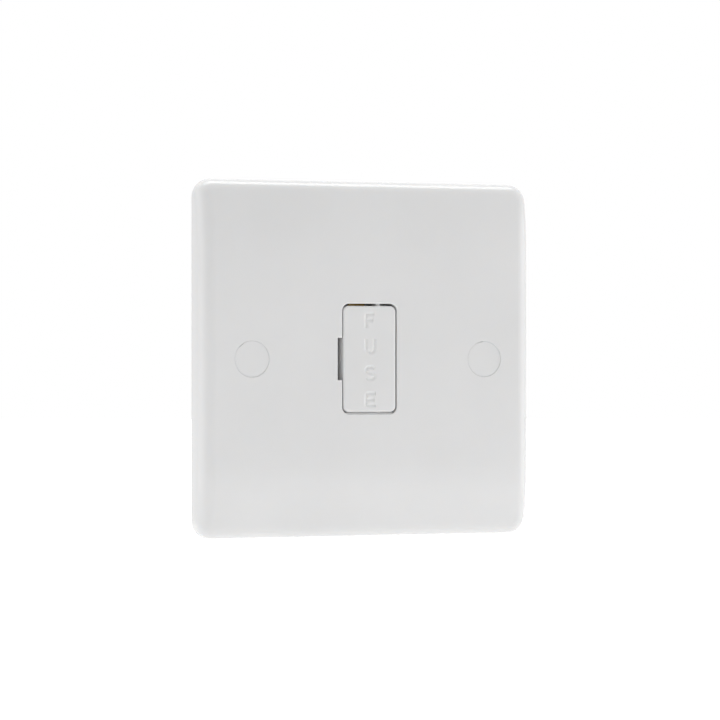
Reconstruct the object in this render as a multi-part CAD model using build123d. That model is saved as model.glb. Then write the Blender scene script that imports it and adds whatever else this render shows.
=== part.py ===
from build123d import *
import math
import os

# One-gang fused connection unit: a moulded wall plate with a hinged fuse carrier.
# Millimetres. +Z is up, the face looks along -Y, and the origin is the middle of the
# plate's rear rim, on the wall plane Y = 0. A depth is a Y value: it grows into the wall.

# Wall plate
plate_size = 86.0
plate_corner_radius = 4.5
plate_projection = 7.0
plate_wall = 2.4
skirt_wall = 2.2
skirt_draft = 5.0
edge_round = 3.6
crown_flat_height = 52.0
crown_radius = 57.0
edge_break = 0.3
seat_height = 3.6
seat_rib = 1.6
stiffener_thickness = 1.2
stiffener_height = 2.0
stiffener_spread = 32.0

# Fixing screw wells and their covers
fixing_spacing = 60.3
fixing_boss_radius = 5.6
fixing_hole_radius = 2.1
screw_head_radius = 3.6
screw_head_depth = 3.6
cap_radius = 4.3
cap_thickness = 1.5
cap_clearance = 0.02
cap_sink = 0.12
cap_spigot_length = 1.2
cap_spigot_wall = 0.6
cap_nick_width = 1.4
cap_nick_depth = 0.16
cap_nick_height = 0.4
left_nick_angle = 130.0
right_nick_angle = 104.0
rim_break = 0.12

# Fuse carrier and its hinge
carrier_width = 13.6
carrier_height = 25.6
carrier_corner_radius = 1.5
carrier_gap = 0.3
carrier_end_gap = 0.5
carrier_edge_round = 0.5
lid_thickness = 2.0
hinge_inset = 4.2
hinge_depth = 1.7
knuckle_radius = 1.45
pip_radius = 0.7
pip_length = 1.3
pip_clearance = 0.05
cheek_gap = 0.3
cheek_thickness = 1.6
cradle_lip = 1.2
cradle_wall = 1.0
cradle_clearance = 0.06
flank_inset = 0.1
flank_wall = 1.0
flank_depth = 3.9
collar_wall = 2.2
notch_width = 1.15
notch_height = 10.1
notch_depth = 4.0
relief_lip = 0.7
relief_height = 1.0
sill_depth = 0.9
sill_gap = 0.1

# Cartridge fuse
fuse_end_margin = 0.1
fuse_cap_radius = 3.15
fuse_cap_length = 5.8
fuse_cap_end = 0.6
barrel_radius = 2.9
barrel_clearance = 0.03
fuse_offset = 1.95
fuse_lid_gap = 0.2

# Contacts, bars and terminal blocks
strip_thickness = 0.8
clip_clearance = 0.08
clip_width = 5.0
clip_end_gap = 0.5
clip_from_angle = -15.0
clip_to_angle = 130.0
clip_overlap = 0.8
clip_lip_radius = 1.2
clip_lip_angle = 70.0
terminal_pitch = 12.4
block_width = 8.6
block_length = 9.0
block_floor = 1.3
block_roof = 2.6
tunnel_width = 5.2
tunnel_depth = 6.1
tunnel_corner_radius = 0.5

# Terminal screws
clamp_core_radius = 1.65
clamp_core_length = 3.5
clamp_head_radius = 3.1
clamp_head_height = 2.4
clamp_tip_gap = 0.1
thread_clearance = 0.05
head_chamfer = 0.3

# Rear housing and its screws
housing_width = 46.0
housing_corner_radius = 2.5
housing_wall = 1.6
housing_edge_round = 0.8
deck_wall = 1.9
well_margin = 0.2
well_wall = 1.6
well_right = 3.2
bay_wall = 2.6
end_wall = 2.2
tower_wall = 3.7
tower_side_wall = 1.75
tower_corner_radius = 2.0
bay_clearance = 0.15
seat_clearance = 0.05
strip_slot_clearance = 0.2
access_clearance = 0.4
access_lead = 0.5
access_lead_angle = 45.0
window_margin = 0.5
barrier_thickness = 1.2
barrier_reach = 2.0
rib_height = 1.4
keeper_width = 1.2
keeper_root = 1.0
keeper_clearance = 0.1
pad_size = 5.0
pillar_radius = 2.4
pillar_gap = 0.2
housing_screw_radius = 1.25
housing_screw_length = 7.4
housing_head_radius = 2.6
housing_head_height = 2.0
housing_head_round = 0.7

# Depths through the unit, from the face to the back
face = -plate_projection
plate_inner = face + plate_wall
seat = plate_inner + seat_height
lid_rear = face + lid_thickness
fuse_y = lid_rear + fuse_lid_gap + fuse_cap_radius
strip_front = fuse_y + fuse_cap_radius + clip_clearance
strip_rear = strip_front + strip_thickness
deck_inner = strip_rear + seat_clearance
deck_rear = deck_inner + deck_wall
block_front = strip_front - block_floor
tunnel_rear = strip_front + tunnel_depth
block_rear = tunnel_rear + block_roof
bay_rear = block_rear + seat_clearance
tower_rear = bay_rear + tower_wall
wall_overlap = plate_wall / 2

# Places across the unit
aperture_width = carrier_width + 2 * carrier_gap
aperture_height = carrier_height + 2 * carrier_end_gap
aperture_corner_radius = carrier_corner_radius + carrier_gap
hinge_x = carrier_width / 2 - hinge_inset
hinge_y = face + hinge_depth
fuse_x = -fuse_offset
fuse_length = carrier_height - 2 * fuse_end_margin
cheek_offset = fuse_length / 2 - fuse_cap_length - cheek_gap - cheek_thickness
swing_radius = math.hypot(carrier_width / 2 + hinge_x, hinge_depth)
well_left = -aperture_width / 2
well_half_height = aperture_height / 2 + well_margin
bay_start = well_half_height + bay_wall
block_start = bay_start + bay_clearance
block_end = block_start + block_length
bay_end = block_end + bay_clearance
housing_half_height = bay_end + end_wall
block_middle = (block_start + block_end) / 2
tower_width = 2 * (terminal_pitch + block_width / 2 + bay_clearance + tower_side_wall)
tower_start = bay_start - housing_wall
pillar_x = housing_width / 2 - housing_wall - pillar_radius - pillar_gap
pip_reach = carrier_end_gap + pip_length
strip_width = tunnel_width - 2 * tunnel_corner_radius
terminal_columns = {"earth": -terminal_pitch, "line": 0.0, "neutral": terminal_pitch}
terminal_rows = {"load": 1, "supply": -1}


# Shared helpers
def wall_plane(depth):
    """A plane parallel to the wall at a depth, facing the room."""
    return Plane(origin=(0, depth, 0), x_dir=(1, 0, 0), z_dir=(0, -1, 0))


def between(sketch, front, rear, taper=0.0):
    """A front-view outline given thickness from one depth to another."""
    return extrude(wall_plane(rear) * sketch, amount=rear - front, taper=taper)


def upright(plan, bottom, top):
    """A plan-view outline given height from one level to another."""
    return extrude(Plane.XY.offset(bottom) * plan, amount=top - bottom)


def area(x_from, x_to, y_from, y_to):
    """A rectangle between two pairs of limits."""
    middle = Pos((x_from + x_to) / 2, (y_from + y_to) / 2)
    return middle * Rectangle(x_to - x_from, y_to - y_from)


def both_ends(solid):
    """A solid and its mirror image below the horizontal centre line."""
    return [solid, mirror(solid, about=Plane.XY)]


# Wall plate
def crowned_block(size, corner_radius, front, radius):
    """A drafted square block whose face is flat in the middle and falls away above and below."""
    block = between(RectangleRounded(size, size, corner_radius), front, 0, taper=skirt_draft)
    flat = crown_flat_height / 2
    fall = math.degrees(math.asin((size / 2 - flat) / radius))
    upper = JernArc((front, flat), (0, 1), radius, -fall)
    lower = JernArc((front, -flat), (0, -1), radius, fall)
    front_line = Line((front, -flat), (front, flat))
    back_line = Polyline(upper @ 1, (0, size / 2), (0, -size / 2), lower @ 1)
    profile = make_face([front_line, upper, back_line, lower])
    return block & extrude(Plane.YZ * profile, amount=size, both=True)


def outline_edges(block):
    """The edges where the crowned face of a block meets its side walls."""
    front_faces = [f for f in block.faces() if f.normal_at().Y < -math.cos(math.radians(45))]
    edges = [e for f in front_faces for e in f.edges()]
    return [e for e in edges if sum(e.is_same(other) for other in edges) == 1]


def screw_well():
    """The stepped hole for a fixing screw and its cover, about the Y axis."""
    recess = cap_radius + cap_clearance
    recess_floor = face + cap_thickness + seat_clearance
    head_seat = face + screw_head_depth
    cone_end = head_seat + screw_head_radius - fixing_hole_radius
    profile = Polyline(
        (0, face),
        (recess + rim_break, face),
        (recess, face + rim_break),
        (recess, recess_floor),
        (screw_head_radius, recess_floor),
        (screw_head_radius, head_seat),
        (fixing_hole_radius, cone_end),
        (fixing_hole_radius, 0),
        (0, 0),
        close=True,
    )
    return revolve(make_face(profile), axis=Axis.Y)


def hinge_slot():
    """The upper slot, open to the rear, that takes a hinge pip of the carrier."""
    radius = pip_radius + pip_clearance
    round_end = Pos(hinge_x, hinge_y) * Circle(radius)
    straight = area(hinge_x - radius, hinge_x + radius, hinge_y, seat)
    bottom = carrier_height / 2
    return upright(round_end + straight, bottom, bottom + pip_reach + keeper_clearance)


def fuse_relief():
    """The pocket over the upper end of the fuse, behind a thin lip of the face."""
    plan = area(fuse_x - fuse_cap_radius, fuse_x + fuse_cap_radius, face + relief_lip, seat)
    return upright(plan, carrier_height / 2, aperture_height / 2 + relief_height)


def lower_sill():
    """The ledge that closes the gap under the carrier a little behind the face."""
    overlap = collar_wall / 2
    plan = area(well_left - overlap, overlap - well_left, face + sill_depth, seat)
    return upright(plan, -aperture_height / 2 - overlap, -carrier_height / 2 - sill_gap)


def aperture_outline():
    """The carrier opening with the prise notch in its left edge."""
    opening = RectangleRounded(aperture_width, aperture_height, aperture_corner_radius)
    return opening + area(well_left - notch_width, 0, -notch_height / 2, notch_height / 2)


def seat_frame():
    """The rib that the edge of the rear housing stands on."""
    height = 2 * housing_half_height
    outer = RectangleRounded(housing_width, height, housing_corner_radius)
    inner = RectangleRounded(housing_width - 2 * seat_rib, height - 2 * seat_rib, housing_wall)
    return between(outer - inner, plate_inner - wall_overlap, seat)


def collar():
    """The thick wall behind the carrier opening that holds the hinge pips."""
    outer = Rectangle(aperture_width + 2 * collar_wall, aperture_height + 2 * collar_wall)
    return between(outer, plate_inner - wall_overlap, seat)


def stiffeners():
    """The low ribs from the seat frame to the skirt."""
    reach = plate_size / 2 - skirt_wall / 2
    rear = plate_inner + stiffener_height
    half = stiffener_thickness / 2
    ribs = []
    for place in (-stiffener_spread / 2, stiffener_spread / 2):
        along_z = area(place - half, place + half, housing_half_height - seat_rib / 2, reach)
        along_x = area(housing_width / 2 - seat_rib / 2, reach, place - half, place + half)
        for rib in (along_z, along_x):
            ribs.append(between(rib, plate_inner - wall_overlap, rear))
    return ribs + [rib.rotate(Axis.Y, 180) for rib in ribs]


def front_plate():
    """The moulded wall plate with its bosses, ribs and openings."""
    outer = crowned_block(plate_size, plate_corner_radius, face, crown_radius)
    outer = fillet(outline_edges(outer), edge_round)
    hollow = crowned_block(
        plate_size - 2 * skirt_wall,
        plate_corner_radius - skirt_wall,
        plate_inner,
        crown_radius - plate_wall,
    )
    fixings = [Pos(x, 0, 0) for x in (-fixing_spacing / 2, fixing_spacing / 2)]
    boss = between(Circle(fixing_boss_radius), plate_inner - wall_overlap, 0)
    pillar = between(Circle(pillar_radius), plate_inner - wall_overlap, strip_rear)
    pad = between(Rectangle(pad_size, pad_size), plate_inner - wall_overlap, block_front - seat_clearance)
    added = [place * boss for place in fixings]
    added += [Pos(x, 0, 0) * pillar for x in (-pillar_x, pillar_x)]
    added += [
        Pos(x, 0, row * block_middle) * pad
        for x in terminal_columns.values()
        for row in terminal_rows.values()
    ]
    ribs = Part() + stiffeners()
    plate = outer - hollow + (ribs & outer) + seat_frame() + collar() + added
    pilot_radius = housing_screw_radius + thread_clearance
    pilot_end = deck_rear - housing_screw_length - thread_clearance
    pilot = between(Circle(pilot_radius), pilot_end, strip_rear)
    plate -= between(aperture_outline(), face, face + notch_depth)
    plate -= between(
        RectangleRounded(aperture_width, aperture_height, aperture_corner_radius),
        face,
        seat,
    )
    plate += lower_sill()
    plate -= both_ends(hinge_slot())
    plate -= fuse_relief()
    plate -= [place * screw_well() for place in fixings]
    plate -= [Pos(x, 0, 0) * pilot for x in (-pillar_x, pillar_x)]
    rim = plate.edges().filter_by_position(Axis.Y, face, face)
    opening_edges = [e for e in rim if abs(e.center().X) < fixing_spacing / 4]
    opening_edges = [e for e in opening_edges if abs(e.center().Z) < crown_flat_height / 3]
    return fillet(opening_edges, edge_break)


def screw_cap(nick_angle):
    """A press-in cover with its gripping spigot and prise nick, about the Y axis."""
    front = face + cap_sink
    disc = between(Circle(cap_radius), front, face + cap_thickness)
    grip = screw_head_radius - cap_clearance
    ring = Circle(grip) - Circle(grip - cap_spigot_wall)
    spigot = between(ring, face + cap_thickness - cap_spigot_wall, face + cap_thickness + cap_spigot_length)
    nick_place = Pos(cap_radius, 0) * Rectangle(2 * cap_nick_depth, cap_nick_width)
    nick = between(Rot(0, 0, nick_angle) * nick_place, front, front + cap_nick_height)
    return disc + spigot - nick


# Fuse carrier
def cradle_cheek():
    """One web behind the lid with the snap-in seat for the fuse barrel."""
    seat_radius = barrel_radius + cradle_clearance
    right = fuse_x + seat_radius + cradle_wall
    rear = fuse_y + cradle_lip
    web = area(-carrier_width / 2, right, lid_rear - lid_thickness / 2, rear)
    web &= Pos(hinge_x, hinge_y) * Circle(swing_radius)
    return web - Pos(fuse_x, fuse_y) * Circle(seat_radius)


def fuse_carrier():
    """The hinged door with its knuckle, pips, flank and fuse cradle."""
    top = carrier_height / 2
    lid = between(RectangleRounded(carrier_width, carrier_height, carrier_corner_radius), face, lid_rear)
    lid = fillet(lid.edges().filter_by_position(Axis.Y, face, face), carrier_edge_round)
    knuckle = upright(Pos(hinge_x, hinge_y) * Circle(knuckle_radius), -top, top)
    pip = upright(Pos(hinge_x, hinge_y) * Circle(pip_radius), top - pip_radius, top + pip_reach)
    cheek = upright(cradle_cheek(), cheek_offset, cheek_offset + cheek_thickness)
    flank_left = flank_inset - carrier_width / 2
    flank = area(flank_left, flank_left + flank_wall, lid_rear - lid_thickness / 2, face + flank_depth)
    flank = upright(flank, -cheek_offset - cheek_thickness / 2, cheek_offset + cheek_thickness / 2)
    return lid + knuckle + both_ends(pip) + both_ends(cheek) + flank


# Cartridge fuse
def fuse_barrel():
    """The ceramic body, closed inside the end caps."""
    half = fuse_length / 2 - fuse_cap_end
    return upright(Pos(fuse_x, fuse_y) * Circle(barrel_radius), -half, half)


def fuse_cap():
    """The upper end cap, a drawn cup over the barrel."""
    top = fuse_length / 2
    centre = Pos(fuse_x, fuse_y)
    cup = upright(centre * Circle(fuse_cap_radius), top - fuse_cap_length, top)
    inside = centre * Circle(barrel_radius + barrel_clearance)
    return cup - upright(inside, top - fuse_cap_length, top - fuse_cap_end)


# Conductors
def line_contact():
    """The upper spring clip round a fuse cap, with its flared lip and its tail to the terminal."""
    inner = fuse_cap_radius + clip_clearance
    middle = inner + strip_thickness / 2
    sweep_angle = clip_to_angle - clip_from_angle
    arc = CenterArc((fuse_x, fuse_y), middle, clip_from_angle, sweep_angle)
    lip = JernArc(arc @ 1, arc % 1, clip_lip_radius, -clip_lip_angle)
    wrap = trace([arc, lip], strip_thickness)
    clip_start = cheek_offset + cheek_thickness + clip_end_gap
    clip_end = clip_start + clip_width
    clip = upright(wrap, clip_start, clip_end)
    tail = area(-strip_width / 2, strip_width / 2, strip_front, strip_rear)
    return clip + upright(tail, clip_end - clip_overlap, block_end)


def through_bar(x):
    """A flat bar through the supply and load terminals of one column."""
    bar = area(x - strip_width / 2, x + strip_width / 2, strip_front, strip_rear)
    return upright(bar, -block_end, block_end)


def terminal_block(x, row):
    """A brass block with a wire tunnel and a tapped hole for its clamp screw."""
    block = between(Rectangle(block_width, block_length), block_front, block_rear)
    tunnel = RectangleRounded(tunnel_width, tunnel_depth, tunnel_corner_radius)
    tunnel = Pos(0, (strip_front + tunnel_rear) / 2) * tunnel
    block -= upright(tunnel, -block_length / 2, block_length / 2)
    block -= between(Circle(clamp_core_radius + thread_clearance), tunnel_rear - clamp_core_radius, block_rear)
    return Pos(x, 0, row * block_middle) * block


def clamp_screw(x, row):
    """A terminal screw, backed out until its tip is clear of the tunnel."""
    tip = tunnel_rear + clamp_tip_gap
    head_front = tip + clamp_core_length
    core = between(Circle(clamp_core_radius), tip, head_front)
    head = between(Circle(clamp_head_radius), head_front, head_front + clamp_head_height)
    head = chamfer(head.edges().group_by(Axis.Y)[-1], head_chamfer)
    return Pos(x, 0, row * block_middle) * (core + head)


def housing_screw(x):
    """A pan-head screw from the deck of the housing into a pillar of the plate."""
    core = between(Circle(housing_screw_radius), deck_rear - housing_screw_length, deck_rear)
    head = between(Circle(housing_head_radius), deck_rear, deck_rear + housing_head_height)
    head = fillet(head.edges().group_by(Axis.Y)[-1], housing_head_round)
    return Pos(x, 0, 0) * (core + head)


# Rear housing
def terminal_tower():
    """The upper terminal tower as a plain block with rounded back edges."""
    height = housing_half_height - tower_start
    outline = RectangleRounded(tower_width, height, tower_corner_radius)
    tower = between(Pos(0, tower_start + height / 2) * outline, seat, tower_rear)
    return fillet(tower.edges().group_by(Axis.Y)[-1], housing_edge_round)


def terminal_bay(x):
    """All that is cut from the upper tower for one terminal."""
    half = block_width / 2 + bay_clearance
    window_half = tunnel_width / 2 + window_margin
    slot_half = strip_width / 2 + strip_slot_clearance
    pocket = between(area(x - half, x + half, bay_start, bay_end), seat, bay_rear)
    window = between(
        area(x - window_half, x + window_half, bay_end, housing_half_height),
        strip_front,
        tunnel_rear + window_margin,
    )
    slot = between(area(x - slot_half, x + slot_half, tower_start, bay_start), seat, deck_inner)
    access_radius = clamp_head_radius + access_clearance
    access = Pos(x, block_middle) * Circle(access_radius)
    lead = Pos(x, block_middle) * Circle(access_radius + access_lead)
    hole = between(access, bay_rear, tower_rear)
    hole += between(lead, tower_rear - access_lead, tower_rear, taper=access_lead_angle)
    return pocket + window + slot + hole


def barriers():
    """The upper walls between the wire entries and the ribs that carry on across the deck."""
    half = barrier_thickness / 2
    root = housing_half_height - end_wall / 2
    walls = []
    for x in (-terminal_pitch / 2, terminal_pitch / 2):
        wall = area(x - half, x + half, root, housing_half_height + barrier_reach)
        rib = area(x - half, x + half, 0, tower_start + housing_wall / 2)
        walls.append(between(wall, strip_front, tower_rear - housing_edge_round))
        walls.append(between(rib, deck_rear - deck_wall / 2, deck_rear + rib_height))
    return walls


def hinge_keeper():
    """The upper tongue that closes the plate's hinge slot behind a pip."""
    half = keeper_width / 2
    front = hinge_y + pip_radius + pip_clearance
    plan = area(hinge_x - half, hinge_x + half, front, seat + keeper_root)
    return upright(plan, well_half_height, carrier_height / 2 + pip_reach)


def rear_housing():
    """The moulded base with the carrier well and six terminal bays."""
    height = 2 * housing_half_height
    outline = RectangleRounded(housing_width, height, housing_corner_radius)
    tray = between(outline, seat, deck_rear)
    tray = fillet(tray.edges().group_by(Axis.Y)[-1], housing_edge_round)
    inner_width = housing_width - 2 * housing_wall
    inner_height = height - 2 * housing_wall
    inner = RectangleRounded(inner_width, inner_height, housing_corner_radius - housing_wall)
    tray -= between(inner, seat, deck_inner)
    well_half_width = aperture_width / 2 + well_wall
    well_block = area(-well_half_width, well_half_width, -tower_start, tower_start)
    tray += between(well_block, seat, deck_inner)
    for shape in [terminal_tower()] + barriers():
        tray += both_ends(shape)
    well = area(well_left, well_right, -well_half_height, well_half_height)
    tray -= between(well, seat, deck_inner)
    slot_half = strip_width / 2 + strip_slot_clearance
    tail_slot = area(-slot_half, slot_half, 0, bay_start)
    tray -= both_ends(between(tail_slot, seat, deck_inner))
    for x in terminal_columns.values():
        tray -= both_ends(terminal_bay(x))
    screw_hole = between(Circle(housing_screw_radius + keeper_clearance), deck_inner, deck_rear)
    tray -= [Pos(x, 0, 0) * screw_hole for x in (-pillar_x, pillar_x)]
    return tray + both_ends(hinge_keeper())


# The finished pieces, one file each
fuse_cap_upper, fuse_cap_lower = both_ends(fuse_cap())
load_contact, supply_contact = both_ends(line_contact())
pieces = {
    "front_plate": front_plate(),
    "rear_housing": rear_housing(),
    "fuse_carrier": fuse_carrier(),
    "screw_cap_left": Pos(-fixing_spacing / 2, 0, 0) * screw_cap(left_nick_angle),
    "screw_cap_right": Pos(fixing_spacing / 2, 0, 0) * screw_cap(right_nick_angle),
    "fuse_barrel": fuse_barrel(),
    "fuse_cap_upper": fuse_cap_upper,
    "fuse_cap_lower": fuse_cap_lower,
    "load_contact": load_contact,
    "supply_contact": supply_contact,
    "neutral_bar": through_bar(terminal_columns["neutral"]),
    "earth_bar": through_bar(terminal_columns["earth"]),
    "housing_screws": Compound([housing_screw(x) for x in (-pillar_x, pillar_x)]),
}
clamp_screws = []
for row_name, row in terminal_rows.items():
    for column_name, x in terminal_columns.items():
        pieces[f"{row_name}_{column_name}_terminal"] = terminal_block(x, row)
        clamp_screws.append(clamp_screw(x, row))
pieces["terminal_screws"] = Compound(clamp_screws)

os.makedirs("parts", exist_ok=True)
for name, piece in pieces.items():
    export_step(piece, f"parts/{name}.step")
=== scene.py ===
"""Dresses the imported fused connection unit: finishes, engraved lid, screws, studio and camera."""

import logging
import math
from dataclasses import dataclass
from enum import Enum

import bmesh
import bpy
from mathutils import Matrix, Vector


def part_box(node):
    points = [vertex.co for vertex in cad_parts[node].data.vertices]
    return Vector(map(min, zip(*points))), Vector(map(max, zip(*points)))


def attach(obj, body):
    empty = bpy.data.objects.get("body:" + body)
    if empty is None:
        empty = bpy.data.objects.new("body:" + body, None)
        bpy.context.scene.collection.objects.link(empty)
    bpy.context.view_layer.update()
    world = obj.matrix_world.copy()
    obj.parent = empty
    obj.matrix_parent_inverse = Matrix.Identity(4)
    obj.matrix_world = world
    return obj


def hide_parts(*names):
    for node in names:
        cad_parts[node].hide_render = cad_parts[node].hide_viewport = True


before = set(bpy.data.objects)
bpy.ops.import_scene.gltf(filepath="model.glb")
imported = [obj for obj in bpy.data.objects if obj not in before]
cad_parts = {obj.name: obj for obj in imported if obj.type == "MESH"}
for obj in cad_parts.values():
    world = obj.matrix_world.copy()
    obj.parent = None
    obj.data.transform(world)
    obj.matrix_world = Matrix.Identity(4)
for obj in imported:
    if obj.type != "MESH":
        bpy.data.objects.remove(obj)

LOG = logging.getLogger("fused_unit")
MILLIMETRE = 0.001
MERGE_DISTANCE = 1e-7

SocketKey = str | int
Operand = str | float
Point = tuple[float, float]
Point3 = tuple[float, float, float]
Sums = dict[str, tuple[str, Operand, Operand]]
Sockets = dict[str, bpy.types.NodeSocket]
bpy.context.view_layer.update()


class Body(Enum):
    """The rigid bodies that pieces made here ride on."""

    UNIT = "unit"
    CARRIER = "carrier"


class Drive(Enum):
    """The recess that a screwdriver turns a screw by: for each cut, its axes across and along."""

    SLOT = ("XY",)
    CROSS = ("XY", "YX")


def linear(hex_colour: str) -> tuple[float, float, float, float]:
    """Turns an sRGB hex colour into linear light.

    Args:
        hex_colour: six hex digits, with or without a leading hash.

    Returns:
        Red, green, blue and an alpha of one.
    """
    digits = hex_colour.lstrip("#")
    channels = [int(digits[start : start + 2], 16) / 255 for start in (0, 2, 4)]
    red, green, blue = [
        value / 12.92 if value <= 0.04045 else ((value + 0.055) / 1.055) ** 2.4
        for value in channels
    ]
    return red, green, blue, 1.0


def per_metre(size_mm: float) -> float:
    """The texture scale at which one cell of a pattern measures size_mm."""
    return 1.0 / (size_mm * MILLIMETRE)


def add_node(
    tree: bpy.types.NodeTree,
    kind: str,
    settings: dict[SocketKey, object] | None = None,
    links: dict[SocketKey, bpy.types.NodeSocket] | None = None,
) -> bpy.types.Node:
    """Adds a node with its settings and links.

    Args:
        tree: the tree that takes the node.
        kind: the node's type name.
        settings: values for its inputs, by name or place, and for its properties.
        links: the sockets that feed its inputs.

    Returns:
        The new node.
    """
    node = tree.nodes.new(kind)
    properties = {key: value for key, value in (settings or {}).items() if hasattr(node, str(key))}
    for key, value in properties.items():
        setattr(node, key, value)
    for key, value in (settings or {}).items():
        if key not in properties:
            node.inputs[key].default_value = value
    for key, socket in (links or {}).items():
        tree.links.new(socket, node.inputs[key])
    return node


def new_material(name: str) -> tuple[bpy.types.Material, bpy.types.Node, bpy.types.NodeSocket]:
    """Starts a material.

    Args:
        name: the real material and how its surface was made.

    Returns:
        The material, its shader node and its Object coordinates.
    """
    material = bpy.data.materials.new(name)
    material.use_nodes = True
    shader = material.node_tree.nodes["Principled BSDF"]
    place = add_node(material.node_tree, "ShaderNodeTexCoord").outputs["Object"]
    return material, shader, place


def two_tone(
    tree: bpy.types.NodeTree, factor: bpy.types.NodeSocket, colours: tuple[str, str], blend: Point
) -> bpy.types.NodeSocket:
    """Blends two colours by a pattern.

    Args:
        tree: the material's tree.
        factor: the pattern, from nought to one.
        colours: the hex colours at the low and the high end of the pattern.
        blend: where in the pattern the blend starts and ends.

    Returns:
        The blended colour.
    """
    ramp = add_node(tree, "ShaderNodeValToRGB", links={"Fac": factor})
    for stop, colour, position in zip(ramp.color_ramp.elements, colours, blend):
        stop.position = position
        stop.color = linear(colour)
    return ramp.outputs["Color"]


def textured(
    material: bpy.types.Material,
    colour: bpy.types.NodeSocket,
    pattern: bpy.types.NodeSocket,
    roughness: Point,
    relief: Point,
) -> None:
    """Gives a material its colour, and the gloss and fine relief of one pattern.

    Args:
        material: the material.
        colour: its colour.
        pattern: the pattern, from nought to one.
        roughness: the roughness at the low and the high end of the pattern.
        relief: how much of the relief shows, and its height in millimetres.
    """
    tree = material.node_tree
    shader = tree.nodes["Principled BSDF"]
    share, height_mm = relief
    polish = add_node(
        tree,
        "ShaderNodeMapRange",
        {"To Min": roughness[0], "To Max": roughness[1]},
        {"Value": pattern},
    )
    bump = add_node(
        tree,
        "ShaderNodeBump",
        {"Strength": share, "Distance": height_mm * MILLIMETRE},
        {"Height": pattern},
    )
    tree.links.new(colour, shader.inputs["Base Color"])
    tree.links.new(polish.outputs["Result"], shader.inputs["Roughness"])
    tree.links.new(bump.outputs["Normal"], shader.inputs["Normal"])


@dataclass(frozen=True)
class MouldedPlastic:
    """A moulded thermoset or thermoplastic, coloured right through."""

    name: str
    colours: tuple[str, str]
    roughness: Point
    grain_mm: float
    grain_height_mm: float
    scatter_mm: float
    scatter_share: float
    scatter_tint: Point3 = (1.0, 0.93, 0.86)
    grain_share: float = 1.0
    flow_mm: float = 26.0
    flow_blend: Point = (0.35, 0.7)
    ior: float = 1.55

    def material(self) -> bpy.types.Material:
        """Builds the plastic.

        The eye sees an even white with hardly visible flow clouds, and a sheen that the
        mould's own polish or grain breaks up a little.

        Returns:
            The material.
        """
        material, shader, place = new_material(self.name)
        tree = material.node_tree
        flow = add_node(
            tree,
            "ShaderNodeTexNoise",
            {"Scale": per_metre(self.flow_mm), "Detail": 3.0},
            {"Vector": place},
        )
        grain = add_node(
            tree,
            "ShaderNodeTexNoise",
            {"Scale": per_metre(self.grain_mm), "Detail": 2.0, "Roughness": 0.6},
            {"Vector": place},
        )
        colour = two_tone(tree, flow.outputs["Fac"], self.colours, self.flow_blend)
        relief = (self.grain_share, self.grain_height_mm)
        textured(material, colour, grain.outputs["Fac"], self.roughness, relief)
        shader.inputs["IOR"].default_value = self.ior
        shader.inputs["Subsurface Weight"].default_value = self.scatter_share
        shader.inputs["Subsurface Radius"].default_value = self.scatter_tint
        shader.inputs["Subsurface Scale"].default_value = self.scatter_mm * MILLIMETRE
        return material


@dataclass(frozen=True)
class FiredCeramic:
    """Steatite, pressed and fired, as fuse bodies are made."""

    name: str
    colours: tuple[str, str]
    speck_mm: float
    speck_blend: Point = (0.6, 0.78)
    speck_share: float = 0.6
    speck_height_mm: float = 0.008
    roughness: Point = (0.28, 0.46)
    ior: float = 1.58

    def material(self) -> bpy.types.Material:
        """Builds the ceramic.

        The eye sees a warm white body with fine darker specks and a low, waxy shine.

        Returns:
            The material.
        """
        material, shader, place = new_material(self.name)
        tree = material.node_tree
        specks = add_node(
            tree,
            "ShaderNodeTexNoise",
            {"Scale": per_metre(self.speck_mm), "Detail": 4.0, "Roughness": 0.7},
            {"Vector": place},
        ).outputs["Fac"]
        colour = two_tone(tree, specks, self.colours, self.speck_blend)
        relief = (self.speck_share, self.speck_height_mm)
        textured(material, colour, specks, self.roughness, relief)
        shader.inputs["IOR"].default_value = self.ior
        return material


@dataclass(frozen=True)
class WorkedMetal:
    """A metal with the fine lines that drawing, sawing or turning leaves."""

    name: str
    colours: tuple[str, str]
    roughness: Point
    line_mm: Point3
    line_depth_mm: float
    line_share: float = 0.5
    stain_mm: float = 5.0
    stain_blend: Point = (0.4, 0.72)

    def material(self) -> bpy.types.Material:
        """Builds the metal.

        The eye sees highlights drawn out across the working lines, and a film of
        tarnish that shifts the colour in patches.

        Returns:
            The material.
        """
        material, shader, place = new_material(self.name)
        tree = material.node_tree
        stretch = add_node(
            tree,
            "ShaderNodeMapping",
            {"Scale": tuple(per_metre(size) for size in self.line_mm)},
            {"Vector": place},
        )
        lines = add_node(
            tree,
            "ShaderNodeTexNoise",
            {"Scale": 1.0, "Detail": 3.0, "Roughness": 0.65},
            {"Vector": stretch.outputs["Vector"]},
        )
        film = add_node(
            tree,
            "ShaderNodeTexNoise",
            {"Scale": per_metre(self.stain_mm), "Detail": 4.0},
            {"Vector": place},
        )
        colour = two_tone(tree, film.outputs["Fac"], self.colours, self.stain_blend)
        relief = (self.line_share, self.line_depth_mm)
        textured(material, colour, lines.outputs["Fac"], self.roughness, relief)
        shader.inputs["Metallic"].default_value = 1.0
        return material


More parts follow.
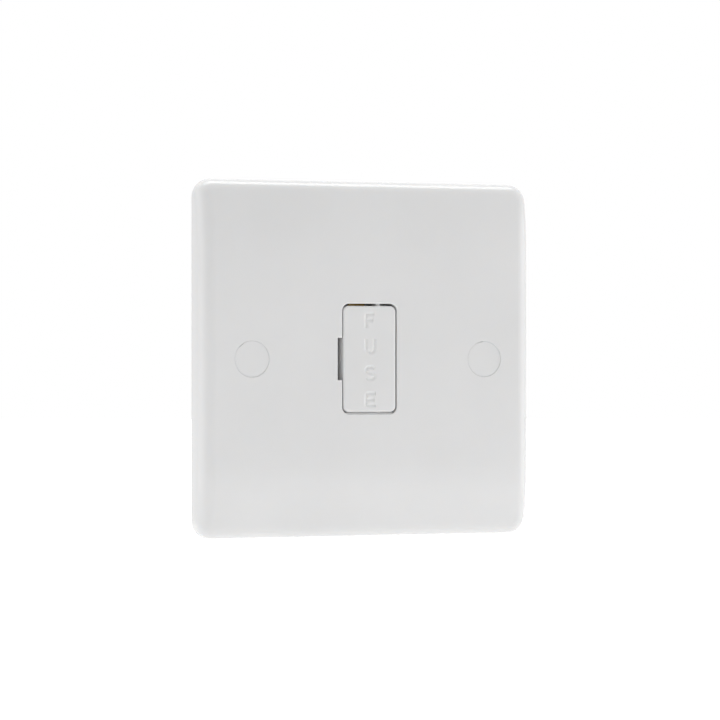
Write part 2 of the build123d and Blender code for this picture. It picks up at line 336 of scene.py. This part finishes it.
@dataclass(frozen=True)
class TurnedSteel:
    """Plated steel turned on a lathe, with rings about each screw's own axis."""

    name: str
    colours: tuple[str, str]
    roughness: Point
    ring_mm: float
    ring_depth_mm: float
    attribute: str
    ring_share: float = 0.6
    film_mm: float = 2.5
    film_blend: Point = (0.42, 0.66)

    def material(self) -> bpy.types.Material:
        """Builds the steel.

        The eye sees a cool grey with faint blue patches, and highlights that fan out
        from the middle of a head because of the rings that the tool left.

        Returns:
            The material.
        """
        material, shader, place = new_material(self.name)
        tree = material.node_tree
        own = add_node(tree, "ShaderNodeAttribute", {"attribute_name": self.attribute})
        flat = add_node(
            tree,
            "ShaderNodeVectorMath",
            {"operation": "MULTIPLY", 1: (1.0, 1.0, 0.0)},
            {0: own.outputs["Vector"]},
        )
        radius = add_node(
            tree, "ShaderNodeVectorMath", {"operation": "LENGTH"}, {0: flat.outputs["Vector"]}
        )
        # The attribute is in millimetres, and so is the scale of the rings.
        rings = add_node(
            tree,
            "ShaderNodeTexNoise",
            {"noise_dimensions": "1D", "Scale": 1.0 / self.ring_mm, "Detail": 2.0},
            {"W": radius.outputs["Value"]},
        )
        film = add_node(
            tree,
            "ShaderNodeTexNoise",
            {"Scale": per_metre(self.film_mm), "Detail": 3.0},
            {"Vector": place},
        )
        colour = two_tone(tree, film.outputs["Fac"], self.colours, self.film_blend)
        relief = (self.ring_share, self.ring_depth_mm)
        textured(material, colour, rings.outputs["Fac"], self.roughness, relief)
        shader.inputs["Metallic"].default_value = 1.0
        return material


# Urea moulding compound from a polished steel mould: bright, dense white with a soft wide gloss.
GLOSS_UREA = MouldedPlastic(
    name="urea_moulded_polished",
    colours=("#F0F0F0", "#EDEDED"),
    roughness=(0.14, 0.2),
    grain_mm=0.9,
    grain_height_mm=0.0015,
    scatter_mm=0.4,
    scatter_share=0.6,
)
# Nylon from a spark-eroded mould: a flatter white whose fine grain kills the reflections.
MATT_NYLON = MouldedPlastic(
    name="nylon_moulded_matt",
    colours=("#E9E9E6", "#E3E3DF"),
    roughness=(0.44, 0.62),
    grain_mm=0.45,
    grain_height_mm=0.012,
    scatter_mm=0.8,
    scatter_share=0.4,
)
# Steatite from a press and a kiln: warm white, specked, with the shine of wax.
STEATITE = FiredCeramic(name="steatite_fired", colours=("#ECE7DC", "#CFC7B6"), speck_mm=0.7)
# Nickel on drawn brass caps: pale warm silver with rings from the drawing die, coarser than
# real ones so that they show.
NICKEL_ON_BRASS = WorkedMetal(
    name="nickel_plated_brass_drawn",
    colours=("#CBC6BC", "#B9AF9C"),
    roughness=(0.2, 0.36),
    line_mm=(4.0, 4.0, 0.22),
    line_depth_mm=0.006,
)
# Extruded brass bar sawn to length: warm yellow, streaked along the bar, browner where handled.
# The streaks are coarser than real ones so that they show.
EXTRUDED_BRASS = WorkedMetal(
    name="brass_extruded_sawn",
    colours=("#D2AC62", "#B58B47"),
    roughness=(0.24, 0.46),
    line_mm=(0.28, 0.28, 6.0),
    line_depth_mm=0.01,
)
# Zinc on turned steel screws: cool grey with a blue passivation film, and tool rings coarser
# than real ones so that they show.
ZINC_ON_STEEL = TurnedSteel(
    name="zinc_plated_steel_turned",
    colours=("#B4B8BC", "#9EA6B0"),
    roughness=(0.24, 0.4),
    ring_mm=0.12,
    ring_depth_mm=0.006,
    attribute="turned",
)


def dress(node: str, material: bpy.types.Material) -> None:
    """Gives a carried-over node its finish.

    Args:
        node: the node's name.
        material: the finish.
    """
    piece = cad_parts[node]
    piece.data.materials.clear()
    piece.data.materials.append(material)
    LOG.info("dressed %s with %s", node, material.name)


def smooth(mesh: bpy.types.Mesh, angle_deg: float) -> None:
    """Shades a mesh smooth, with edges that bend by more than angle_deg kept sharp."""
    mesh.shade_smooth()
    mesh.set_sharp_from_angle(angle=math.radians(angle_deg))


def weld(mesh: bpy.types.Mesh) -> None:
    """Joins the vertices of a mesh that lie in one place.

    Args:
        mesh: the mesh, changed in place.
    """
    build = bmesh.new()
    build.from_mesh(mesh)
    bmesh.ops.remove_doubles(build, verts=build.verts, dist=MERGE_DISTANCE)
    build.to_mesh(mesh)
    build.free()


def settled(source: bpy.types.Object) -> bpy.types.Mesh:
    """Works out the plain mesh that an object's modifiers or curve settings give.

    Args:
        source: the object.

    Returns:
        A new mesh.
    """
    depsgraph = bpy.context.evaluated_depsgraph_get()
    return bpy.data.meshes.new_from_object(
        source.evaluated_get(depsgraph), preserve_all_data_layers=True, depsgraph=depsgraph
    )


def add_object(name: str, data: bpy.types.ID) -> bpy.types.Object:
    """Links new data into the scene at the origin.

    Args:
        name: the object's name.
        data: its mesh, curve, light or camera.

    Returns:
        The object.
    """
    made = bpy.data.objects.new(name, data)
    bpy.context.scene.collection.objects.link(made)
    return made


def arc(centre: Point, radii: Point, start: float, end: float, steps: int = 14) -> list[Point]:
    """Points along part of an ellipse.

    Args:
        centre: its middle.
        radii: its half width and half height.
        start: the first angle in degrees.
        end: the last angle in degrees.
        steps: how many chords the arc has.

    Returns:
        The points, both ends included.
    """
    angles = [math.radians(start + (end - start) * step / steps) for step in range(steps + 1)]
    return [
        (centre[0] + radii[0] * math.cos(angle), centre[1] + radii[1] * math.sin(angle))
        for angle in angles
    ]


@dataclass
class EngravedWord:
    """The function word cut in the lid, its letters one above the other. Sizes in millimetres."""

    width: float = 2.15
    upper_curl: float = 2.193
    lower_curl: float = 2.322
    curl_open_deg: float = 25.0
    curl_join_deg: float = 70.0
    short_bar: float = 2.0
    short_middle: float = 1.72
    long_bar: float = 2.4
    long_middle: float = 2.112
    height: float = 2.9
    pitch: float = 6.37
    left: float = -0.88
    top_letter: float = 9.34
    free_end: float = 0.38
    groove_width: float = 1.1
    groove_depth: float = 0.3

    def letters(self) -> list[list[list[Point]]]:
        """The centre lines of F, U, S and E, from the top letter down.

        Returns:
            For each letter its strokes, each a list of points about the letter's left middle.
        """
        half = self.height / 2
        bowl = self.width / 2
        curl = self.height / 4
        opened, joined = self.curl_open_deg, self.curl_join_deg
        letter_f = [
            [(0.0, half), (0.0, -half - self.free_end)],
            [(0.0, half), (self.short_bar, half)],
            [(0.0, 0.0), (self.short_middle, 0.0)],
        ]
        letter_u = [
            [(0.0, half + self.free_end)]
            + arc((bowl, bowl - half), (bowl, bowl), 180.0, 360.0)
            + [(self.width, half + self.free_end)]
        ]
        letter_s = [
            arc((bowl, curl), (self.upper_curl / 2, curl), opened, joined + 180.0)
            + arc((bowl, -curl), (self.lower_curl / 2, curl), joined, opened - 180.0)
        ]
        bars = ((half, self.long_bar), (0.0, self.long_middle), (-half, self.long_bar))
        letter_e = [[(0.0, half), (0.0, -half)]]
        letter_e += [[(0.0, level), (length, level)] for level, length in bars]
        return [letter_f, letter_u, letter_s, letter_e]

    def cutter(self, face: float) -> bpy.types.Object:
        """Builds the sharp ridges that press the word into the lid as V-shaped grooves.

        Args:
            face: the depth of the lid's face in millimetres.

        Returns:
            One object, in millimetres, with every stroke.
        """
        half_width = self.groove_width / 2
        curve = bpy.data.curves.new("engraving", "CURVE")
        curve.dimensions = "3D"
        curve.bevel_depth = half_width
        curve.bevel_resolution = 0
        curve.use_fill_caps = True
        for index, strokes in enumerate(self.letters()):
            level = self.top_letter - index * self.pitch
            for stroke in strokes:
                spline = curve.splines.new("POLY")
                spline.points.add(len(stroke) - 1)
                for point, (across, up) in zip(spline.points, stroke):
                    point.co = (self.left + across, 0.0, level + up, 1.0)
        source = add_object("engraving_line", curve)
        ridge = settled(source)
        bpy.data.objects.remove(source)
        flatten = Matrix.Scale(self.groove_depth / half_width, 4, (0.0, 1.0, 0.0))
        ridge.transform(Matrix.Translation((0.0, face, 0.0)) @ flatten)
        return add_object("engraving", ridge)


@dataclass
class FuseCarrier:
    """The hinged carrier with the cartridge fuse that it holds."""

    word: EngravedWord
    node: str = "fuse_carrier"
    barrel_node: str = "fuse_barrel"
    cap_nodes: tuple[str, ...] = ("fuse_cap_upper", "fuse_cap_lower")
    sharp_deg: float = 18.0

    def engraved_mesh(self) -> bpy.types.Mesh:
        """Cuts the word into a merged copy of the carrier.

        Returns:
            The engraved mesh, in metres.
        """
        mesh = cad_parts[self.node].data.copy()
        weld(mesh)
        mesh.attributes.remove(mesh.attributes["custom_normal"])
        mesh.transform(Matrix.Scale(1 / MILLIMETRE, 4))
        blank = add_object("carrier_blank", mesh)
        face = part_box(self.node)[0].y / MILLIMETRE
        cutter = self.word.cutter(face)
        cut = blank.modifiers.new("engrave", "BOOLEAN")
        cut.operation = "DIFFERENCE"
        cut.solver = "EXACT"
        cut.use_self = True
        cut.object = cutter
        engraved = settled(blank)
        for spent in (blank, cutter):
            bpy.data.objects.remove(spent)
        engraved.transform(Matrix.Scale(MILLIMETRE, 4))
        weld(engraved)
        smooth(engraved, self.sharp_deg)
        return engraved

    def build(
        self, lid: bpy.types.Material, barrel: bpy.types.Material, caps: bpy.types.Material
    ) -> None:
        """Makes the engraved carrier and dresses the fuse.

        Args:
            lid: finish of the carrier.
            barrel: finish of the fuse body.
            caps: finish of the fuse's end caps.
        """
        mesh = self.engraved_mesh()
        mesh.materials.clear()
        mesh.materials.append(lid)
        carrier = add_object("engraved_carrier", mesh)
        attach(carrier, Body.CARRIER.value)
        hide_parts(self.node)
        LOG.info("built %s with %d faces", carrier.name, len(mesh.polygons))
        dress(self.barrel_node, barrel)
        for node in self.cap_nodes:
            dress(node, caps)


@dataclass
class Housing:
    """The plate, its covers and the moulded base, as carried over."""

    front_nodes: tuple[str, ...] = ("front_plate", "screw_cap_left", "screw_cap_right")
    base_node: str = "rear_housing"

    def build(self, gloss: bpy.types.Material, matt: bpy.types.Material) -> None:
        """Dresses the mouldings.

        Args:
            gloss: finish of what the room sees.
            matt: finish of the base behind the plate.
        """
        for node in self.front_nodes:
            dress(node, gloss)
        dress(self.base_node, matt)


@dataclass
class Conductors:
    """The terminals, bars and spring contacts."""

    rows: tuple[str, ...] = ("load", "supply")
    columns: tuple[str, ...] = ("earth", "line", "neutral")
    strips: tuple[str, ...] = ("load_contact", "supply_contact", "neutral_bar", "earth_bar")

    def terminals(self) -> list[str]:
        """The names of the six terminal blocks."""
        return [f"{row}_{column}_terminal" for row in self.rows for column in self.columns]

    def build(self, brass: bpy.types.Material) -> None:
        """Dresses every brass piece."""
        for node in (*self.terminals(), *self.strips):
            dress(node, brass)


# Turns of plain shaft above and below a thread.
PLAIN_TURNS = 0.75
# What a screw's tree works out from its sizes.
SIZE_SUMS: Sums = {
    "Head Middle": ("MULTIPLY", "Head Height", 0.5),
    "Straight Height": ("SUBTRACT", "Head Height", "Head Round"),
    "Round Square": ("POWER", "Head Round", 2.0),
    "Blade Height": ("MULTIPLY", "Slot Depth", 2.0),
    "Root Radius": ("SUBTRACT", "Core Radius", "Thread Depth"),
    "Core Middle": ("MULTIPLY", "Core Length", -0.5),
    "Plain End": ("MULTIPLY", "Pitch", PLAIN_TURNS),
    "Plain Length": ("MULTIPLY", "Pitch", 2 * PLAIN_TURNS),
    "Thread Length": ("SUBTRACT", "Core Length", "Plain Length"),
    "Thread Turns": ("DIVIDE", "Thread Length", "Pitch"),
    "Foot Depth": ("ADD", "Thread Length", "Plain End"),
    "Thread Foot": ("MULTIPLY", "Foot Depth", -1.0),
}
# How much of its radius the head keeps at a level, so that its edge is a quarter round.
ROUND_SUMS: Sums = {
    "Past": ("SUBTRACT", "Level", "Straight Height"),
    "Past Or None": ("MAXIMUM", "Past", 0.0),
    "Rise": ("MINIMUM", "Past Or None", "Head Round"),
    "Rise Square": ("POWER", "Rise", 2.0),
    "Reach Square": ("SUBTRACT", "Round Square", "Rise Square"),
    "Reach": ("SQRT", "Reach Square", 0.0),
    "Inset": ("SUBTRACT", "Head Round", "Reach"),
    "Radius Here": ("SUBTRACT", "Head Radius", "Inset"),
    "Share": ("DIVIDE", "Radius Here", "Head Radius"),
}


def worked_out(tree: bpy.types.NodeTree, known: Sockets, sums: Sums) -> Sockets:
    """Works out a table of sums in a tree.

    Args:
        tree: the tree.
        known: sockets by name.
        sums: by new name, an operation and its two operands, each a number or a name.

    Returns:
        The known sockets and the results, by name.
    """
    found = dict(known)
    for name, (operation, *operands) in sums.items():
        settings: dict[SocketKey, object] = {"operation": operation}
        links: dict[SocketKey, bpy.types.NodeSocket] = {}
        for place, operand in enumerate(operands):
            if isinstance(operand, str):
                links[place] = found[operand]
            else:
                settings[place] = operand
        found[name] = add_node(tree, "ShaderNodeMath", settings, links).outputs[0]
    return found


def lifted(
    tree: bpy.types.NodeTree, shape: bpy.types.NodeSocket, height: bpy.types.NodeSocket
) -> bpy.types.NodeSocket:
    """Lifts a shape along the screw's axis.

    Args:
        tree: the tree.
        shape: the shape.
        height: how far.

    Returns:
        The lifted shape.
    """
    offset = add_node(tree, "ShaderNodeCombineXYZ", links={"Z": height})
    return add_node(
        tree,
        "GeometryNodeTransform",
        links={"Geometry": shape, "Translation": offset.outputs["Vector"]},
    ).outputs["Geometry"]


@dataclass
class ScrewSet:
    """Equal screws of one node, heads to the rear, driven and threaded. Sizes in millimetres."""

    node: str
    drive: Drive
    head_height: float
    head_round: float
    core_radius: float
    slot_width: float
    slot_depth: float
    slot_length: float
    pitch: float
    thread_depth: float
    seed: int
    head_facets: int = 40
    head_rows: int = 24
    core_facets: int = 24
    turn_facets: int = 20
    sharp_deg: float = 32.0

    def inputs(self, head_radius: float, core_length: float) -> dict[str, float]:
        """The named sizes that the node tree takes.

        Args:
            head_radius: radius of a head.
            core_length: length under the head.

        Returns:
            Sizes by name.
        """
        return {
            "Head Radius": head_radius,
            "Head Height": self.head_height,
            "Head Round": self.head_round,
            "Core Radius": self.core_radius,
            "Core Length": core_length,
            "Slot Width": self.slot_width,
            "Slot Depth": self.slot_depth,
            "Slot Length": self.slot_length,
            "Pitch": self.pitch,
            "Thread Depth": self.thread_depth,
        }

    def tree(self, sizes: dict[str, float]) -> bpy.types.NodeTree:
        """Builds the node tree that puts one screw on every point.

        Args:
            sizes: the default value of each named size.

        Returns:
            The tree.
        """
        tree = bpy.data.node_groups.new(f"{self.node}_tree", "GeometryNodeTree")
        interface = tree.interface
        interface.new_socket("Geometry", in_out="INPUT", socket_type="NodeSocketGeometry")
        for name in sizes:
            interface.new_socket(name, in_out="INPUT", socket_type="NodeSocketFloat")
        interface.new_socket("Seed", in_out="INPUT", socket_type="NodeSocketInt")
        interface.new_socket("Material", in_out="INPUT", socket_type="NodeSocketMaterial")
        interface.new_socket("Geometry", in_out="OUTPUT", socket_type="NodeSocketGeometry")
        known = {socket.name: socket for socket in add_node(tree, "NodeGroupInput").outputs}
        given = worked_out(tree, known, SIZE_SUMS)
        parts = [self.head(tree, given), self.core(tree, given), self.thread(tree, given)]
        screw = add_node(tree, "GeometryNodeJoinGeometry")
        for part in parts:
            tree.links.new(part, screw.inputs["Geometry"])
        place = add_node(tree, "GeometryNodeInputPosition").outputs["Position"]
        marked = add_node(
            tree,
            "GeometryNodeStoreNamedAttribute",
            {"data_type": "FLOAT_VECTOR", "domain": "POINT", "Name": ZINC_ON_STEEL.attribute},
            {"Geometry": screw.outputs["Geometry"], "Value": place},
        )
        turn = add_node(
            tree,
            "FunctionNodeRandomValue",
            {"data_type": "FLOAT", 2: 0.0, 3: math.pi},
            {"Seed": given["Seed"]},
        )
        rotation = add_node(
            tree, "ShaderNodeCombineXYZ", {"X": -math.pi / 2}, {"Y": turn.outputs[1]}
        )
        points = add_node(tree, "GeometryNodeMeshToPoints", links={"Mesh": given["Geometry"]})
        placed = add_node(
            tree,
            "GeometryNodeInstanceOnPoints",
            {"Scale": (MILLIMETRE, MILLIMETRE, MILLIMETRE)},
            {
                "Points": points.outputs[0],
                "Instance": marked.outputs["Geometry"],
                "Rotation": rotation.outputs["Vector"],
            },
        )
        real = add_node(
            tree, "GeometryNodeRealizeInstances", links={"Geometry": placed.outputs["Instances"]}
        )
        plated = add_node(
            tree,
            "GeometryNodeSetMaterial",
            links={"Geometry": real.outputs["Geometry"], "Material": given["Material"]},
        )
        add_node(tree, "NodeGroupOutput", links={"Geometry": plated.outputs["Geometry"]})
        return tree

    def head(self, tree: bpy.types.NodeTree, given: Sockets) -> bpy.types.NodeSocket:
        """Turns the head, rounds its edge and cuts the drive.

        Args:
            tree: the tree.
            given: the tree's inputs and what was worked out from them.

        Returns:
            The head, standing on the origin.
        """
        blank = add_node(
            tree,
            "GeometryNodeMeshCylinder",
            {"Vertices": self.head_facets, "Side Segments": self.head_rows},
            {"Radius": given["Head Radius"], "Depth": given["Head Height"]},
        )
        standing = lifted(tree, blank.outputs["Mesh"], given["Head Middle"])
        place = add_node(tree, "GeometryNodeInputPosition").outputs["Position"]
        level = add_node(tree, "ShaderNodeSeparateXYZ", links={"Vector": place}).outputs["Z"]
        share = worked_out(tree, {**given, "Level": level}, ROUND_SUMS)["Share"]
        scale = add_node(tree, "ShaderNodeCombineXYZ", {"Z": 1.0}, {"X": share, "Y": share})
        rounded_place = add_node(
            tree,
            "ShaderNodeVectorMath",
            {"operation": "MULTIPLY"},
            {0: place, 1: scale.outputs["Vector"]},
        )
        rounded = add_node(
            tree,
            "GeometryNodeSetPosition",
            links={"Geometry": standing, "Position": rounded_place.outputs["Vector"]},
        )
        cut = add_node(
            tree,
            "GeometryNodeMeshBoolean",
            {"operation": "DIFFERENCE", "solver": "EXACT"},
            {"Mesh 1": rounded.outputs["Geometry"]},
        )
        width, length, height = given["Slot Width"], given["Slot Length"], given["Blade Height"]
        for across, along in self.drive.value:
            size = add_node(
                tree, "ShaderNodeCombineXYZ", links={across: width, along: length, "Z": height}
            )
            blade = add_node(tree, "GeometryNodeMeshCube", links={"Size": size.outputs["Vector"]})
            raised = lifted(tree, blade.outputs["Mesh"], given["Head Height"])
            tree.links.new(raised, cut.inputs["Mesh 2"])
        return cut.outputs["Mesh"]

    def core(self, tree: bpy.types.NodeTree, given: Sockets) -> bpy.types.NodeSocket:
        """Turns the plain core under the head, as thin as the bottom of the thread.

        Args:
            tree: the tree.
            given: the tree's inputs and what was worked out from them.

        Returns:
            The core, hanging from the origin.
        """
        shaft = add_node(
            tree,
            "GeometryNodeMeshCylinder",
            {"Vertices": self.core_facets},
            {"Radius": given["Root Radius"], "Depth": given["Core Length"]},
        )
        return lifted(tree, shaft.outputs["Mesh"], given["Core Middle"])

    def thread(self, tree: bpy.types.NodeTree, given: Sockets) -> bpy.types.NodeSocket:
        """Winds the ridge of the thread round the core.

        Args:
            tree: the tree.
            given: the tree's inputs and what was worked out from them.

        Returns:
            The thread, hanging from the origin.
        """
        path = add_node(
            tree,
            "GeometryNodeCurveSpiral",
            {"Resolution": self.turn_facets},
            {
                "Rotations": given["Thread Turns"],
                "Start Radius": given["Root Radius"],
                "End Radius": given["Root Radius"],
                "Height": given["Thread Length"],
            },
        )
        ridge = add_node(
            tree,
            "GeometryNodeCurvePrimitiveCircle",
            {"mode": "RADIUS", "Resolution": 4},
            {"Radius": given["Thread Depth"]},
        )
        wound = add_node(
            tree,
            "GeometryNodeCurveToMesh",
            {"Fill Caps": True},
            {"Curve": path.outputs["Curve"], "Profile Curve": ridge.outputs["Curve"]},
        )
        return lifted(tree, wound.outputs["Mesh"], given["Thread Foot"])

    def build(self, places: list[Point], steel: bpy.types.Material) -> None:
        """Makes the screws in place of the carried-over node.

        Args:
            places: the X and Z of each screw's axis, in metres.
            steel: the finish.
        """
        low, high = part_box(self.node)
        spread = max(place[0] for place in places)
        head_radius = (high.x - spread) / MILLIMETRE
        core_length = (high.y - low.y) / MILLIMETRE - self.head_height
        seat = high.y - self.head_height * MILLIMETRE
        points = bpy.data.meshes.new(f"{self.node}_places")
        points.from_pydata([(x, seat, z) for x, z in places], [], [])
        source = add_object(f"{self.node}_source", points)
        sizes = self.inputs(head_radius, core_length)
        modifier = source.modifiers.new("screws", "NODES")
        modifier.node_group = self.tree(sizes)
        values = {**sizes, "Seed": self.seed, "Material": steel}
        for item in modifier.node_group.interface.items_tree:
            if item.in_out == "INPUT" and item.name in values:
                modifier[item.identifier] = values[item.name]
        mesh = settled(source)
        bpy.data.objects.remove(source)
        smooth(mesh, self.sharp_deg)
        screws = add_object(f"{self.node}_driven", mesh)
        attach(screws, Body.UNIT.value)
        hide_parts(self.node)
        LOG.info("built %s with %d faces", screws.name, len(mesh.polygons))


CLAMP_SCREWS = ScrewSet(
    node="terminal_screws",
    drive=Drive.SLOT,
    head_height=2.4,
    head_round=0.35,
    core_radius=1.65,
    slot_width=0.9,
    slot_depth=1.1,
    slot_length=8.0,
    pitch=0.7,
    thread_depth=0.26,
    seed=11,
)
BASE_SCREWS = ScrewSet(
    node="housing_screws",
    drive=Drive.CROSS,
    head_height=2.0,
    head_round=0.75,
    core_radius=1.25,
    slot_width=0.75,
    slot_depth=1.2,
    slot_length=2.8,
    pitch=0.8,
    thread_depth=0.28,
    seed=5,
)


@dataclass
class Fasteners:
    """The clamp screws of the terminals and the screws that hold the base."""

    clamps: ScrewSet
    base_screws: ScrewSet

    def build(self, terminals: list[str], steel: bpy.types.Material) -> None:
        """Makes both sets.

        Args:
            terminals: the blocks that have a clamp screw each.
            steel: the finish.
        """
        middles = [sum(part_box(name), Vector()) / 2 for name in terminals]
        self.clamps.build([(middle.x, middle.z) for middle in middles], steel)
        low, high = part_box(self.base_screws.node)
        reach = high.x - (high.z - low.z) / 2
        self.base_screws.build([(-reach, 0.0), (reach, 0.0)], steel)


def seen_directly(tree: bpy.types.NodeTree) -> bpy.types.NodeSocket:
    """Tells the rays that show the background itself, as a camera, a metal or a glass does.

    Args:
        tree: the tree that asks.

    Returns:
        One for such a ray, and nought for the rest.
    """
    rays = {socket.name: socket for socket in add_node(tree, "ShaderNodeLightPath").outputs}
    sums: Sums = {
        "Shiny": ("MAXIMUM", "Is Glossy Ray", "Is Transmission Ray"),
        "Seen": ("MAXIMUM", "Is Camera Ray", "Shiny"),
    }
    return worked_out(tree, rays, sums)["Seen"]


@dataclass(frozen=True)
class Softbox:
    """A rectangular light that the camera doesn't see. Sizes in metres."""

    name: str
    place: Point3
    size: Point
    watts: float
    aim: Point3 = (0.0, 0.0, 0.0)

    def build(self) -> None:
        """Hangs the light in its place and turns it to the point that it faces."""
        lamp = bpy.data.lights.new(self.name, "AREA")
        lamp.shape = "RECTANGLE"
        lamp.size, lamp.size_y = self.size
        lamp.energy = self.watts
        light = add_object(self.name, lamp)
        light.visible_camera = False
        light.location = self.place
        facing = Vector(self.aim) - Vector(self.place)
        light.rotation_euler = facing.to_track_quat("-Z", "Y").to_euler()


@dataclass
class Studio:
    """The white studio: floor, soft lights and the sky round them. Sizes in metres."""

    floor_level: float = -0.12
    floor_radius: float = 6.0
    floor_sides: int = 64
    paper: str = "#E8E8E8"
    fade_reach: Point = (0.1, 0.34)
    fade_glow: Point = (0.1, 0.8)
    sky: float = 0.605
    softboxes: tuple[Softbox, ...] = (
        Softbox("top_softbox", place=(0.05, 0.19, 0.8), size=(0.8, 0.36), watts=2.85),
        Softbox("right_strip", place=(0.5, -0.2, 0.0), size=(0.5, 0.3), watts=0.58),
        Softbox("left_softbox", place=(-0.8, 0.12, 0.08), size=(0.6, 0.8), watts=1.06),
        Softbox(
            "floor_card",
            place=(0.0, -0.25, -0.118),
            size=(1.0, 1.1),
            watts=0.79,
            aim=(0.0, -0.25, 1.0),
        ),
    )

    def light_world(self) -> None:
        """Sets a plain sky that lights softly and shows white."""
        world = bpy.data.worlds.new("studio_sky")
        bpy.context.scene.world = world
        world.use_nodes = True
        tree = world.node_tree
        tree.nodes.clear()
        colour = linear("#FFFFFF")
        soft = add_node(tree, "ShaderNodeBackground", {"Color": colour, "Strength": self.sky})
        white = add_node(tree, "ShaderNodeBackground", {"Color": colour, "Strength": 1.0})
        mixed = add_node(
            tree,
            "ShaderNodeMixShader",
            links={0: seen_directly(tree), 1: soft.outputs[0], 2: white.outputs[0]},
        )
        add_node(tree, "ShaderNodeOutputWorld", links={"Surface": mixed.outputs[0]})

    def floor_material(self) -> bpy.types.Material:
        """Makes white paper that keeps a shadow near the unit and fades into the white sky.

        Returns:
            The material.
        """
        material = bpy.data.materials.new("paper_sweep_white")
        material.use_nodes = True
        tree = material.node_tree
        tree.nodes.clear()
        place = add_node(tree, "ShaderNodeTexCoord").outputs["Object"]
        distance = add_node(tree, "ShaderNodeVectorMath", {"operation": "LENGTH"}, {0: place})
        near, far = self.fade_reach
        dim, bright = self.fade_glow
        fade = add_node(
            tree,
            "ShaderNodeMapRange",
            {"From Min": near, "From Max": far, "To Min": dim, "To Max": bright},
            {"Value": distance.outputs["Value"]},
        )
        shown = add_node(
            tree,
            "ShaderNodeMath",
            {"operation": "MULTIPLY"},
            {0: fade.outputs["Result"], 1: seen_directly(tree)},
        )
        paper = add_node(tree, "ShaderNodeBsdfDiffuse", {"Color": linear(self.paper)})
        glow = add_node(tree, "ShaderNodeEmission", links={"Strength": shown.outputs[0]})
        both = add_node(
            tree, "ShaderNodeAddShader", links={0: paper.outputs[0], 1: glow.outputs[0]}
        )
        add_node(tree, "ShaderNodeOutputMaterial", links={"Surface": both.outputs[0]})
        return material

    def build_floor(self) -> None:
        """Lays the floor under the unit."""
        mesh = bpy.data.meshes.new("studio_floor")
        build = bmesh.new()
        bmesh.ops.create_circle(
            build, cap_ends=True, segments=self.floor_sides, radius=self.floor_radius
        )
        build.to_mesh(mesh)
        build.free()
        mesh.materials.append(self.floor_material())
        floor = add_object("studio_floor", mesh)
        floor.location.z = self.floor_level

    def build(self) -> None:
        """Sets up the sky, the floor and the lights."""
        self.light_world()
        self.build_floor()
        for softbox in self.softboxes:
            softbox.build()


@dataclass
class PhotoCamera:
    """A long lens, level with the plate and to its left. Metres, and pixels of a square picture."""

    picture: float = 720.0
    middle_px: Point = (369.9, 359.0)
    yaw_deg: float = 22.0
    distance: float = 0.821
    focal_px: float = 3409.0
    sensor_mm: float = 36.0
    clip: Point = (0.01, 50.0)

    def build(self, target: Vector) -> None:
        """Places the camera so that the target falls on its pixel.

        Args:
            target: the middle of the plate's face.
        """
        data = bpy.data.cameras.new("photo_camera")
        data.sensor_width = self.sensor_mm
        data.lens = self.focal_px / self.picture * self.sensor_mm
        data.clip_start, data.clip_end = self.clip
        camera = add_object("photo_camera", data)
        yaw = math.radians(self.yaw_deg)
        camera.location = target + self.distance * Vector((-math.sin(yaw), -math.cos(yaw), 0.0))
        turn = math.atan((self.middle_px[0] - self.picture / 2) / self.focal_px)
        tilt = math.atan((self.middle_px[1] - self.picture / 2) / self.focal_px)
        camera.rotation_euler = (math.pi / 2 + tilt, 0.0, turn - yaw)
        bpy.context.scene.camera = camera


def main() -> None:
    """Builds each sub-assembly in order, then the studio and the camera."""
    logging.basicConfig(level=logging.INFO, format="%(name)s: %(message)s")
    bpy.context.scene.view_settings.view_transform = "Standard"
    gloss = GLOSS_UREA.material()
    Housing().build(gloss, MATT_NYLON.material())
    FuseCarrier(EngravedWord()).build(gloss, STEATITE.material(), NICKEL_ON_BRASS.material())
    conductors = Conductors()
    conductors.build(EXTRUDED_BRASS.material())
    Fasteners(CLAMP_SCREWS, BASE_SCREWS).build(conductors.terminals(), ZINC_ON_STEEL.material())
    Studio().build()
    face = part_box("front_plate")[0].y
    PhotoCamera().build(Vector((0.0, face, 0.0)))


if __name__ == "__main__":
    main()
